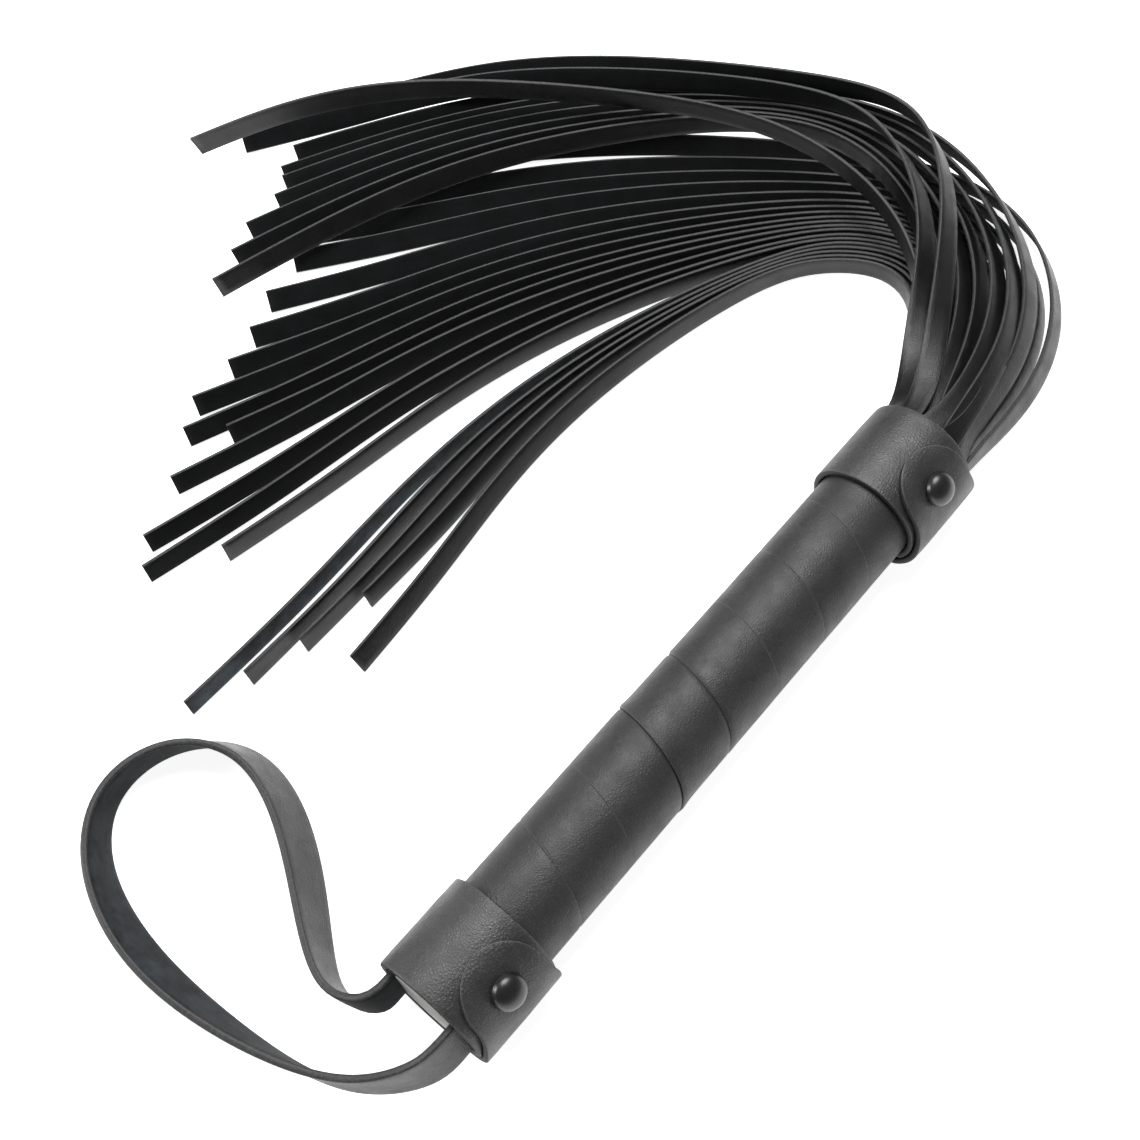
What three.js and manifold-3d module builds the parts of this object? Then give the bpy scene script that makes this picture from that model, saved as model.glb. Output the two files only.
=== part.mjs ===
// A black leather whip with many flat tails, a wrapped handle and a wrist loop, lying on a table.
// Millimetres, +Z up, table at z = 0. The handle lies along X with the tails leaving its +X end.
import * as THREE from 'three';
import { mergeVertices } from 'three/addons/utils/BufferGeometryUtils.js';
import Module from 'manifold-3d';

const wasm = await Module();
wasm.setup();

// ---------------------------------------------------------------- driving dimensions
const GAP = 0.3;                    // clearance kept between touching pieces
const TABLE_GAP = 0.15;             // clearance kept between the table and what lies on it
const HANDLE_LENGTH = 183;          // outer edge to outer edge of the two collars
const AXIS_Y = 0.95;                // the collar laps stand out on -Y, so the axis sits this far to +Y
const AXIS_Z = 14.75;               // height of the handle's axis over the table
const CORE_RADIUS = 11.4;
const CORE_CHAMFER = 0.8;
const CORE_SHORT = 0.2;             // the core ends this far inside the butt collar's edge
const WRAP_THICKNESS = 1.3;
const WRAP_PITCH = 17.8;            // advance of the wrapped strip in one turn
const WRAP_SEAM_X = 2;              // where one of its seams crosses the top of the handle
const WRAP_REACH = 5;               // how far the wrap goes in under each collar
const COLLAR_LENGTH = 25;
const COLLAR_INNER = 13.3;
const COLLAR_THICKNESS = 1.6;
const REST_REACH = 8;               // how far to each side a collar is trimmed flat where it rests
const LAP_TIP_RADIUS = 10.6;        // round end of a collar's lap
const LAP_OVERRUN = 20;             // degrees that the strap runs on before its end is cut round
const RIVET_ANGLE = 45;             // degrees from the top of the handle toward -Y
const RIVET_CAP_RADIUS = 4.3;
const RIVET_CAP_HEIGHT = 2.9;
const RIVET_SHANK_RADIUS = 1.5;
const STRAP_WIDTH = 13;
const STRAP_THICKNESS = 1.8;
const STRAP_FLAT = 8.8;             // distance of the core's flats under the strap ends from the axis
const LOOP_START = 1.5;             // where the free loop begins, outside the collar's edge
const STRAP_END_LENGTH = 9.5;       // length of each strap end inside the butt collar
const NEAR_STRAP_ANGLE = 70;        // degrees from the top of the handle toward -Y
const FAR_STRAP_ANGLE = -100;
const HEADER_INNER = 9.3;
const HEADER_LENGTH = 16;
const TAIL_WIDTH = 6.2;
const TAIL_THICKNESS = 1;
const TAIL_LENGTH = 310;            // no tail is longer
const TAIL_STEPS = 34;
const ROOT_SIZE = 0.35;             // the tails are packed tight at the collar, so each solid starts slim
const ROOT_TAPER = [30, 80];        // and reaches its full section between these distances

const HALF = HANDLE_LENGTH / 2;
const WRAP_INNER = CORE_RADIUS + GAP;
const WRAP_OUTER = WRAP_INNER + WRAP_THICKNESS;
const COLLAR_OUTER = COLLAR_INNER + COLLAR_THICKNESS;
const LAP_INNER = COLLAR_OUTER + GAP;
const LAP_OUTER = LAP_INNER + COLLAR_THICKNESS;
const WRAP_END = HALF - COLLAR_LENGTH + WRAP_REACH;
const BUTT_RIVET_X = -HALF + COLLAR_LENGTH / 2 + 0.5;
const HEAD_RIVET_X = HALF - COLLAR_LENGTH / 2 - 0.5;
const TAIL_ROOT_X = HALF - 3;

// ---------------------------------------------------------------- materials
function material(color, roughness, metalness) {
  return new THREE.MeshStandardMaterial({ color, roughness, metalness });
}
const gripLeather = () => material(0x3a3a3c, 0.62, 0);
const collarLeather = () => material(0x303032, 0.52, 0);
const strapLeather = () => material(0x262628, 0.5, 0);
const tailLeather = () => material(0x1c1c1e, 0.5, 0);
const bareWood = () => material(0x9a9a98, 0.8, 0);
const blackMetal = () => material(0x151516, 0.28, 0.6);
const plainSteel = () => material(0x737375, 0.4, 0.9);

// ---------------------------------------------------------------- small helpers
const radians = (degrees) => degrees * Math.PI / 180;
const mix = (a, b, t) => a + (b - a) * t;

function smoothstep(t) {
  const c = Math.min(1, Math.max(0, t));
  return c * c * (3 - 2 * c);
}

function solidOf(geometry) {
  const bare = geometry.clone();
  bare.deleteAttribute('normal');
  bare.deleteAttribute('uv');
  const merged = mergeVertices(bare, 1e-4);
  return new wasm.Manifold(new wasm.Mesh({
    numProp: 3,
    vertProperties: Float32Array.from(merged.attributes.position.array),
    triVerts: Uint32Array.from(merged.index.array),
  }));
}

function geometryOf(solid) {
  const mesh = solid.getMesh();
  const geometry = new THREE.BufferGeometry();
  geometry.setAttribute('position', new THREE.BufferAttribute(mesh.vertProperties, 3));
  geometry.setIndex(new THREE.BufferAttribute(mesh.triVerts, 1));
  geometry.computeVertexNormals();
  return geometry;
}

// A closed body swept through rings of corners; each ring is an array of Vector3.
function sweepGeometry(rings) {
  const corners = rings[0].length;
  const positions = rings.flat().flatMap((p) => [p.x, p.y, p.z]);
  const index = [];
  for (let i = 0; i < rings.length - 1; i++) {
    for (let j = 0; j < corners; j++) {
      const a = i * corners + j;
      const b = i * corners + (j + 1) % corners;
      index.push(a, b, b + corners, a, b + corners, a + corners);
    }
  }
  const last = (rings.length - 1) * corners;
  for (let j = 1; j < corners - 1; j++) {
    index.push(0, j + 1, j);
    index.push(last, last + j, last + j + 1);
  }
  const geometry = new THREE.BufferGeometry();
  geometry.setAttribute('position', new THREE.Float32BufferAttribute(positions, 3));
  geometry.setIndex(index);
  geometry.computeVertexNormals();
  return geometry;
}

// A lathe profile of [radius, height] turned about the direction that leaves the handle's axis at
// angle, at x; heights are distances from the handle's axis.
function radialLathe(profile, x, angle, segments = 32) {
  const points = profile.map(([r, h]) => new THREE.Vector2(r, h));
  const geometry = new THREE.LatheGeometry(points, segments);
  geometry.rotateX(Math.PI / 2);
  geometry.rotateX(radians(angle));
  geometry.translate(x, 0, 0);
  return geometry;
}

// A point at distance r from the handle's axis; angle from the top toward -Y, in degrees.
function around(x, r, angle) {
  return new THREE.Vector3(x, -r * Math.sin(radians(angle)), r * Math.cos(radians(angle)));
}

function turnedAlongX(profile, segments = 48) {
  const points = profile.map(([x, r]) => new THREE.Vector2(r, x));
  const geometry = new THREE.LatheGeometry(points, segments);
  geometry.rotateZ(-Math.PI / 2);
  return geometry;
}

function boxAt(x0, x1, y0, y1, z0, z1) {
  const geometry = new THREE.BoxGeometry(x1 - x0, y1 - y0, z1 - z0);
  geometry.translate((x0 + x1) / 2, (y0 + y1) / 2, (z0 + z1) / 2);
  return geometry;
}

// ---------------------------------------------------------------- group and meshes
const whip = new THREE.Group();
const handle = new THREE.Group();
handle.position.set(0, AXIS_Y, AXIS_Z);
whip.add(handle);

function addNode(parent, name, geometry, material) {
  const mesh = new THREE.Mesh(geometry, material);
  mesh.name = name;
  parent.add(mesh);
  return mesh;
}

// ---------------------------------------------------------------- handle core
// A dowel with flats for the strap ends at the butt and a slimmer spigot for the tail header.
const RIVET_BASE_RADIUS = 2.4;
const RIVET_BASE_THICKNESS = 0.8;
const RIVET_BASE_TOP = COLLAR_INNER - GAP - 0.1;
const RIVET_BASE_BOTTOM = RIVET_BASE_TOP - RIVET_BASE_THICKNESS;
const RIVET_SEAT_DEPTH = 1.4;       // how far the core is cut away under the butt rivet's base
const TACK_HEAD_RADIUS = 1.6;
const TACK_SHANK_RADIUS = 0.6;
const TACK_HEAD_THICKNESS = 0.4;
const TACK_LENGTH = 6;
const BEYOND = 20;                  // cutting boxes reach this far past the handle's surface

function rivetRecess(x, bottom) {
  const profile = [[0, bottom], [RIVET_BASE_RADIUS + GAP, bottom]];
  profile.push([RIVET_BASE_RADIUS + GAP, COLLAR_OUTER], [0, COLLAR_OUTER]);
  return solidOf(radialLathe(profile, x, RIVET_ANGLE));
}

function tackHole(x, angle, top) {
  const r = TACK_SHANK_RADIUS + GAP;
  const bottom = top - TACK_LENGTH - GAP;
  const profile = [[0, bottom], [r, bottom], [r, top + 1], [0, top + 1]];
  return solidOf(radialLathe(profile, x, angle, 16));
}

const TACK_TOP_STRAP = STRAP_FLAT + GAP + STRAP_THICKNESS + GAP;
const TACK_TOP_HEADER = COLLAR_INNER - 2 * GAP - TACK_HEAD_THICKNESS;
const STRAP_TACK_X = -HALF + 5;
const HEADER_TACK_X = HALF - 13;

function coreGeometry() {
  const buttEnd = -HALF + CORE_SHORT;
  const headEnd = TAIL_ROOT_X - 0.5;
  const spigotStart = WRAP_END + GAP;
  const profile = [[buttEnd, 0], [buttEnd, CORE_RADIUS - CORE_CHAMFER]];
  profile.push([buttEnd + CORE_CHAMFER, CORE_RADIUS]);
  profile.push([spigotStart, CORE_RADIUS], [spigotStart, HEADER_INNER - GAP]);
  profile.push([headEnd, HEADER_INNER - GAP], [headEnd, 0]);
  let solid = solidOf(turnedAlongX(profile));
  for (const angle of [NEAR_STRAP_ANGLE, FAR_STRAP_ANGLE]) {
    const flatEnd = -HALF + STRAP_END_LENGTH + GAP;
    const flat = boxAt(-HALF - 1, flatEnd, -BEYOND, -STRAP_FLAT, -BEYOND, BEYOND);
    flat.rotateX(radians(angle - 90));
    solid = solid.subtract(solidOf(flat));
    solid = solid.subtract(tackHole(STRAP_TACK_X, angle, STRAP_FLAT + GAP));
  }
  for (const angle of [-90, 90]) {
    solid = solid.subtract(tackHole(HEADER_TACK_X, angle, HEADER_INNER));
  }
  solid = solid.subtract(rivetRecess(BUTT_RIVET_X, RIVET_BASE_BOTTOM - GAP - RIVET_SEAT_DEPTH));
  return geometryOf(solid);
}
addNode(handle, 'handle_core', coreGeometry(), bareWood());

// ---------------------------------------------------------------- grip wrap
// One strip wound helically, its turns edge to edge, trimmed square under the collars.
function wrapGeometry() {
  const stepsPerTurn = 24;
  const turnsBefore = Math.ceil((WRAP_END + WRAP_SEAM_X) / WRAP_PITCH) + 1;
  const turnsAfter = Math.ceil((WRAP_END - WRAP_SEAM_X) / WRAP_PITCH);
  const rings = [];
  for (let i = -turnsBefore * stepsPerTurn; i <= turnsAfter * stepsPerTurn; i++) {
    const turn = i / stepsPerTurn;
    const x0 = WRAP_SEAM_X + turn * WRAP_PITCH;
    const x1 = x0 + WRAP_PITCH - GAP;
    const angle = -360 * turn;
    rings.push([
      around(x0, WRAP_OUTER, angle),
      around(x1, WRAP_OUTER, angle),
      around(x1, WRAP_INNER, angle),
      around(x0, WRAP_INNER, angle),
    ]);
  }
  const strip = solidOf(sweepGeometry(rings));
  return geometryOf(strip.intersect(solidOf(boxAt(-WRAP_END, WRAP_END, -BEYOND, BEYOND, -BEYOND, BEYOND))));
}
addNode(handle, 'grip_wrap', wrapGeometry(), gripLeather());

// ---------------------------------------------------------------- collars
// A strap wound a turn and a third round the handle: it starts under the lap on the -Y side, goes
// over the top and round underneath, then rises over its own start and ends in a round lap.
const LAP_START_ANGLE = 118;
const LAP_RISE_FROM = 165;
const LAP_RISE_TO = 128;
const LAP_TAPER_ANGLE = 96;
const LAP_WAIST = 0.45;             // where the lap's narrowing sides bend, as a share of their reach

function collarGeometry(centreX, rivetX) {
  const total = LAP_START_ANGLE + 360 + LAP_OVERRUN;
  const stepAngle = 6;
  const steps = Math.ceil(total / stepAngle);
  const rings = [];
  for (let i = 0; i <= steps; i++) {
    const wound = total * i / steps;
    const angle = LAP_START_ANGLE - wound;
    const lap = smoothstep((-angle - (360 - LAP_RISE_FROM)) / (LAP_RISE_FROM - LAP_RISE_TO));
    const inner = mix(COLLAR_INNER, LAP_INNER, lap);
    const outer = inner + COLLAR_THICKNESS;
    const x0 = centreX - COLLAR_LENGTH / 2;
    const x1 = centreX + COLLAR_LENGTH / 2;
    rings.push([
      around(x0, inner, angle),
      around(x0, outer, angle),
      around(x1, outer, angle),
      around(x1, inner, angle),
    ]);
  }
  let solid = solidOf(sweepGeometry(rings));
  solid = solid.subtract(lapTrim(centreX, rivetX));
  const hole = [[0, COLLAR_INNER - 2], [RIVET_SHANK_RADIUS + GAP, COLLAR_INNER - 2]];
  hole.push([RIVET_SHANK_RADIUS + GAP, LAP_OUTER + 2], [0, LAP_OUTER + 2]);
  solid = solid.subtract(solidOf(radialLathe(hole, rivetX, RIVET_ANGLE, 24)));
  const from = centreX - COLLAR_LENGTH;
  const to = centreX + COLLAR_LENGTH;
  const below = boxAt(from, to, -REST_REACH, REST_REACH, -AXIS_Z - BEYOND, -AXIS_Z);
  return geometryOf(solid.subtract(solidOf(below)));
}

// Everything of the outer layer near the lap's end that lies outside its rounded outline.
function lapTrim(centreX, rivetX) {
  const sector = new THREE.Shape();
  const from = radians(90 - LAP_TAPER_ANGLE);
  const to = radians(90 + LAP_OVERRUN + 10);
  const middle = (COLLAR_OUTER + LAP_INNER) / 2;
  sector.absarc(0, 0, LAP_OUTER + 2, from, to, false);
  sector.absarc(0, 0, middle, to, from, true);
  const length = { depth: COLLAR_LENGTH + 2, bevelEnabled: false, curveSegments: 20 };
  const shell = new THREE.ExtrudeGeometry(sector, length);
  shell.rotateY(Math.PI / 2);
  shell.rotateX(Math.PI / 2);
  shell.translate(centreX - COLLAR_LENGTH / 2 - 1, 0, 0);
  const outline = new THREE.Shape();
  const reach = LAP_OUTER * Math.sin(radians(LAP_TAPER_ANGLE - RIVET_ANGLE)) + 2;
  const wide = COLLAR_LENGTH / 2 + 1;
  const offset = centreX - rivetX;
  outline.moveTo(offset + wide, -reach);
  outline.quadraticCurveTo(LAP_TIP_RADIUS + 0.5, -reach * LAP_WAIST, LAP_TIP_RADIUS, 0);
  outline.absarc(0, 0, LAP_TIP_RADIUS, 0, Math.PI, false);
  outline.quadraticCurveTo(-LAP_TIP_RADIUS - 0.5, -reach * LAP_WAIST, offset - wide, -reach);
  const depth = BEYOND - CORE_RADIUS;
  const keep = new THREE.ExtrudeGeometry(outline, { depth, bevelEnabled: false, curveSegments: 16 });
  keep.translate(0, 0, CORE_RADIUS);
  keep.rotateX(radians(RIVET_ANGLE));
  keep.translate(rivetX, 0, 0);
  return solidOf(shell).subtract(solidOf(keep));
}
addNode(handle, 'butt_collar', collarGeometry(-HALF + COLLAR_LENGTH / 2, BUTT_RIVET_X), collarLeather());
addNode(handle, 'head_collar', collarGeometry(HALF - COLLAR_LENGTH / 2, HEAD_RIVET_X), collarLeather());

// ---------------------------------------------------------------- rivets
const RIVET_CAP_EDGE = 0.4;         // height of the small bevel under the dome

function rivetCapGeometry(x) {
  const foot = LAP_OUTER + GAP;
  const domeFoot = foot + RIVET_CAP_EDGE;
  const steps = 6;
  const profile = [[0, foot], [RIVET_CAP_RADIUS - RIVET_CAP_EDGE, foot], [RIVET_CAP_RADIUS, domeFoot]];
  for (let i = 1; i < steps; i++) {
    const a = radians(90 * i / steps);
    const rise = (RIVET_CAP_HEIGHT - RIVET_CAP_EDGE) * Math.sin(a);
    profile.push([RIVET_CAP_RADIUS * Math.cos(a), domeFoot + rise]);
  }
  profile.push([0, foot + RIVET_CAP_HEIGHT]);
  return radialLathe(profile, x, RIVET_ANGLE);
}

function rivetPostGeometry(x) {
  const profile = [[0, RIVET_BASE_BOTTOM], [RIVET_BASE_RADIUS, RIVET_BASE_BOTTOM]];
  profile.push([RIVET_BASE_RADIUS, RIVET_BASE_TOP], [RIVET_SHANK_RADIUS, RIVET_BASE_TOP]);
  profile.push([RIVET_SHANK_RADIUS, LAP_OUTER], [0, LAP_OUTER]);
  return radialLathe(profile, x, RIVET_ANGLE, 24);
}
for (const [place, x] of [['butt', BUTT_RIVET_X], ['head', HEAD_RIVET_X]]) {
  addNode(handle, `${place}_rivet_cap`, rivetCapGeometry(x), blackMetal());
  addNode(handle, `${place}_rivet_post`, rivetPostGeometry(x), blackMetal());
}

// ---------------------------------------------------------------- tail header
// The uncut edge of the hide that the tails are cut from, rolled round the spigot.
function headerGeometry() {
  const start = TAIL_ROOT_X - GAP - HEADER_LENGTH;
  const end = TAIL_ROOT_X - GAP;
  const outer = COLLAR_INNER - GAP;
  const profile = [[start, HEADER_INNER], [start, outer], [end, outer], [end, HEADER_INNER]];
  profile.push(profile[0]);
  let solid = solidOf(turnedAlongX(profile));
  solid = solid.subtract(rivetRecess(HEAD_RIVET_X, RIVET_BASE_BOTTOM - GAP));
  for (const side of [-90, 90]) {
    solid = solid.subtract(tackHole(HEADER_TACK_X, side, TACK_TOP_HEADER));
    const r = TACK_HEAD_RADIUS + GAP;
    const bottom = TACK_TOP_HEADER - GAP;
    const seat = [[0, bottom], [r, bottom], [r, COLLAR_INNER + 1], [0, COLLAR_INNER + 1]];
    solid = solid.subtract(solidOf(radialLathe(seat, HEADER_TACK_X, side, 16)));
  }
  return geometryOf(solid);
}
addNode(handle, 'tail_header', headerGeometry(), tailLeather());

// ---------------------------------------------------------------- strap ends
// The two ends of the wrist strap, held on flats of the core inside the butt collar.
function strapEndGeometry(angle) {
  const inner = STRAP_FLAT + GAP;
  const wide = STRAP_WIDTH / 2;
  const end = boxAt(-HALF, -HALF + STRAP_END_LENGTH, -inner - STRAP_THICKNESS, -inner, -wide, wide);
  end.rotateX(radians(angle - 90));
  return geometryOf(solidOf(end).subtract(tackHole(STRAP_TACK_X, angle, TACK_TOP_STRAP)));
}
addNode(handle, 'strap_end_near', strapEndGeometry(NEAR_STRAP_ANGLE), strapLeather());
addNode(handle, 'strap_end_far', strapEndGeometry(FAR_STRAP_ANGLE), strapLeather());

// ---------------------------------------------------------------- tacks
function addTack(name, x, angle, seat) {
  const tip = seat - TACK_LENGTH;
  const profile = [[0, tip + GAP], [TACK_SHANK_RADIUS, tip + GAP + TACK_SHANK_RADIUS]];
  profile.push([TACK_SHANK_RADIUS, seat], [TACK_HEAD_RADIUS, seat]);
  profile.push([TACK_HEAD_RADIUS, seat + TACK_HEAD_THICKNESS], [0, seat + TACK_HEAD_THICKNESS]);
  addNode(handle, name, radialLathe(profile, x, angle, 16), plainSteel());
}
addTack('strap_tack_near', STRAP_TACK_X, NEAR_STRAP_ANGLE, TACK_TOP_STRAP);
addTack('strap_tack_far', STRAP_TACK_X, FAR_STRAP_ANGLE, TACK_TOP_STRAP);
addTack('header_tack_near', HEADER_TACK_X, 90, TACK_TOP_HEADER);
addTack('header_tack_far', HEADER_TACK_X, -90, TACK_TOP_HEADER);

// ---------------------------------------------------------------- flat straps along a route
// A point of the uniform cubic B-spline over a list of arrays, t from 0 to 1, ends held.
function splinePoint(points, t) {
  const padded = [points[0], points[0], ...points, points.at(-1), points.at(-1)];
  const spans = padded.length - 3;
  const at = Math.min(t * spans, spans - 1e-9);
  const i = Math.floor(at);
  const f = at - i;
  const w = [
    (1 - f) ** 3 / 6,
    (3 * f ** 3 - 6 * f ** 2 + 4) / 6,
    (-3 * f ** 3 + 3 * f ** 2 + 3 * f + 1) / 6,
    f ** 3 / 6,
  ];
  return points[0].map((_, k) => w.reduce((sum, wj, j) => sum + wj * padded[i + j][k], 0));
}

// The route cut into equal steps of its own length, each with its position, and where it ends.
function evenRoute(points, steps, length = Infinity) {
  const fine = 600;
  const samples = [splinePoint(points, 0)];
  const run = [0];
  for (let i = 1; i <= fine; i++) {
    const p = splinePoint(points, i / fine);
    const q = samples[i - 1];
    samples.push(p);
    run.push(run[i - 1] + Math.hypot(p[0] - q[0], p[1] - q[1], p[2] - q[2]));
  }
  const total = Math.min(length, run[fine]);
  const route = [];
  for (let s = 0, j = 1; s <= steps; s++) {
    const want = total * s / steps;
    while (j < fine && run[j] < want) j++;
    const f = (want - run[j - 1]) / (run[j] - run[j - 1]);
    route.push(samples[j].map((v, k) => mix(samples[j - 1][k], v, f)));
  }
  return { route, total };
}

// A leaning strip stands lower than an upright one: the point drops by what the lean takes away.
function settled([x, y, z, roll], width, thickness) {
  const lean = Math.abs(roll > 90 ? roll - 180 : roll);
  const drop = Math.min(lean, 60);
  const lower = (1 - Math.cos(radians(drop))) * width / 2 - Math.sin(radians(drop)) * thickness / 2;
  return [x, y, z - lower, roll];
}

// A flat strip whose width turns by roll degrees from upright; roll is the route's fourth number.
function stripGeometry(route, width, thickness, sizeAt = () => 1) {
  const up = new THREE.Vector3(0, 0, 1);
  const rings = route.map((p, i) => {
    const a = route[Math.max(0, i - 1)];
    const b = route[Math.min(route.length - 1, i + 1)];
    const along = new THREE.Vector3(b[0] - a[0], b[1] - a[1], b[2] - a[2]).normalize();
    const side = new THREE.Vector3().crossVectors(along, up).normalize();
    const lift = new THREE.Vector3().crossVectors(side, along).normalize();
    const roll = radians(p[3]);
    const wide = lift.clone().multiplyScalar(Math.cos(roll)).addScaledVector(side, Math.sin(roll));
    const thick = new THREE.Vector3().crossVectors(along, wide);
    const centre = new THREE.Vector3(p[0], p[1], p[2]);
    const size = sizeAt(i / (route.length - 1)) / 2;
    return [[1, 1], [-1, 1], [-1, -1], [1, -1]].map(([w, t]) => centre.clone()
      .addScaledVector(wide, w * size * width)
      .addScaledVector(thick, t * size * thickness));
  });
  return sweepGeometry(rings);
}

// ---------------------------------------------------------------- wrist loop
// Where the strap runs straight out of the collar, still turned as its end inside lies.
function strapExit(angle, distance) {
  const r = STRAP_FLAT + GAP + STRAP_THICKNESS / 2;
  const y = AXIS_Y - r * Math.sin(radians(angle));
  const z = AXIS_Z + r * Math.cos(radians(angle));
  return [-HALF - distance, y, z, 90 - Math.abs(angle)];
}

// x, y, z and roll of the loop's middle line, from the near strap end round to the far one.
const STRAP_LIE = STRAP_WIDTH / 2 + TABLE_GAP;
const LOOP_ROUTE = [
  strapExit(NEAR_STRAP_ANGLE, LOOP_START),
  strapExit(NEAR_STRAP_ANGLE, 5),
  [-HALF - 11, -7, AXIS_Z - 0.5, 14],
  [-HALF - 21, 1, 10.5, 4],
  [-HALF - 28, 15, STRAP_LIE + 1, -5],
  [-124, 38, STRAP_LIE, -24],
  [-125, 62, STRAP_LIE, -32],
  [-118, 84, STRAP_LIE, -16],
  [-103, 96, STRAP_LIE, 0],
  [-84, 92, STRAP_LIE, 10],
  [-73, 76, STRAP_LIE, 25],
  [-79, 56, STRAP_LIE, 32],
  [-92, 38, STRAP_LIE, 28],
  [-103, 23, STRAP_LIE + 1, 14],
  [-HALF - 9, 14, 10, 0],
  strapExit(FAR_STRAP_ANGLE, 5),
  strapExit(FAR_STRAP_ANGLE, LOOP_START),
];

const loopRoute = evenRoute(LOOP_ROUTE, 60).route.map((p) => settled(p, STRAP_WIDTH, STRAP_THICKNESS));
addNode(whip, 'wrist_loop', stripGeometry(loopRoute, STRAP_WIDTH, STRAP_THICKNESS), strapLeather());

// ---------------------------------------------------------------- tails
// Each tail leaves the collar on one of three rings, turns towards standing on edge, goes round the
// bend in a lane of its own and fans out. The layers lie on each other; a lane is a place from the
// inner side of its layer's bend, 0, to the outer side, 1. Along a layer, fall is how far a tail has
// come down from the mouth to bendHeight, and fanHeights are its heights from there to the tip. open
// is how many degrees its smooth face is turned up in the bend, on the inner and on the outer side,
// and carry is how strongly it runs on in the bend's last direction before it turns to its tip.
const TAIL_RINGS = [12.2, 10.2, 8.2];
const TABLE_HEIGHT = TAIL_WIDTH / 2 + TABLE_GAP;
const SECOND_HEIGHT = TABLE_HEIGHT + TAIL_WIDTH + 0.7;
const THIRD_HEIGHT = SECOND_HEIGHT + TAIL_WIDTH + 0.9;
const LAYERS = {
  low: {
    inner: [[100, 12], [117, 22], [133, 29], [139, 42], [129, 57], [113, 68]],
    outer: [[101, -13], [125, -15], [155, -7], [178, 13], [183, 38], [172, 68]],
    fall: [0.12, 0.35, 0.62, 0.86, 1, 1],
    bendHeight: TABLE_HEIGHT,
    open: [0, 45],
    carry: 0.9,
    fanHeights: [TABLE_HEIGHT, TABLE_HEIGHT, TABLE_HEIGHT, TABLE_HEIGHT],
  },
  high: {
    inner: [[101, 8], [121, 18], [143, 33], [158, 54], [162, 79], [147, 105]],
    outer: [[101, -6], [125, -5], [150, 5], [171, 26], [181, 56], [171, 88]],
    fall: [0.12, 0.28, 0.5, 0.7, 0.9, 1],
    bendHeight: SECOND_HEIGHT,
    open: [50, 50],
    carry: 0.9,
    fanHeights: [SECOND_HEIGHT, SECOND_HEIGHT, SECOND_HEIGHT, TABLE_HEIGHT],
  },
  over: {
    inner: [[100, 12], [118, 22], [140, 34], [158, 50], [168, 72], [160, 96]],
    outer: [[101, 7], [119, 16], [141, 28], [164, 43], [179, 62], [172, 86]],
    fall: [0, 0, 0.1, 0.3, 0.6, 0.9],
    bendHeight: THIRD_HEIGHT,
    open: [60, 60],
    carry: 0.85,
    fanHeights: [THIRD_HEIGHT, THIRD_HEIGHT, SECOND_HEIGHT, TABLE_HEIGHT],
  },
  top: {
    inner: [[100, 9], [118, 19], [138, 35], [149, 58], [149, 86], [138, 113]],
    outer: [[100, 9], [118, 19], [138, 35], [149, 58], [149, 86], [138, 113]],
    fall: [0, 0, 0.1, 0.3, 0.6, 0.9],
    bendHeight: THIRD_HEIGHT,
    open: [50, 50],
    carry: 0.75,
    fanHeights: [THIRD_HEIGHT + 2, THIRD_HEIGHT + 4, THIRD_HEIGHT, TABLE_HEIGHT],
  },
};
const FAN_PLACES = [0.22, 0.48, 0.76, 1];  // where the fan's route points are, on the way to the tip
const OUTWARD_FROM = -60;  // tails from past this angle turn their smooth face to the outside of the bend

// [ring, angle round the mouth, lane, tip x, tip y, lean at the tip], from the inner lane outward.
const LOW_TAILS = [
  [0, -110, 0, -41, 73, 40],
  [1, -118, 0.05, -27, 83, 22],
  [0, -140, 0.1, -46, 86.5, 20],
  [2, -140, 0.148, -61, 90.5, 18],
  [1, -150, 0.195, -76, 96, 12],
  [0, -167, 0.237, -41, 119, 20],
  [1, 178, 0.281, -58, 130, 21],
  [2, 172, 0.33, -52, 136, 24],
  [0, 166, 0.365, -36, 143, 26],
  [2, 138, 0.4, -16, 143, 26],
  [1, 148, 0.44, -24, 151, 30],
  [0, 139, 0.48, -16, 156, 35],
  [2, 74, 0.52, -2, 157, 40],
  [2, 106, 0.565, 9, 160, 45],
  [1, 120, 0.62, 20, 165, 50],
  [0, 112, 0.68, 34, 169, 50],
  [1, 103, 0.74, 42, 173.5, 50],
  [1, 86, 0.82, 49, 178, 50],
  [0, 85, 0.92, 66, 182.5, 50],
];
const HIGH_TAILS = [
  [1, -82, 0, 14, 178.5, 30],
  [1, -48, 0.16, 24, 181.5, 32],
  [1, -14, 0.32, 33, 185, 40],
  [1, 20, 0.49, 45, 186, 45],
  [0, 0, 0.65, 51, 189, 45],
  [0, 28, 0.82, 53, 191.5, 45],
  [0, 57, 1, 57, 196, 45],
];
const OVER_TAILS = [
  [0, -56, 0, 54, 209, 45],
  [0, -28, 0.8, 62, 209.5, 45],
];
const TOP_TAILS = [
  [0, -84, 0, 44, 218, 12],
];

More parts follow.
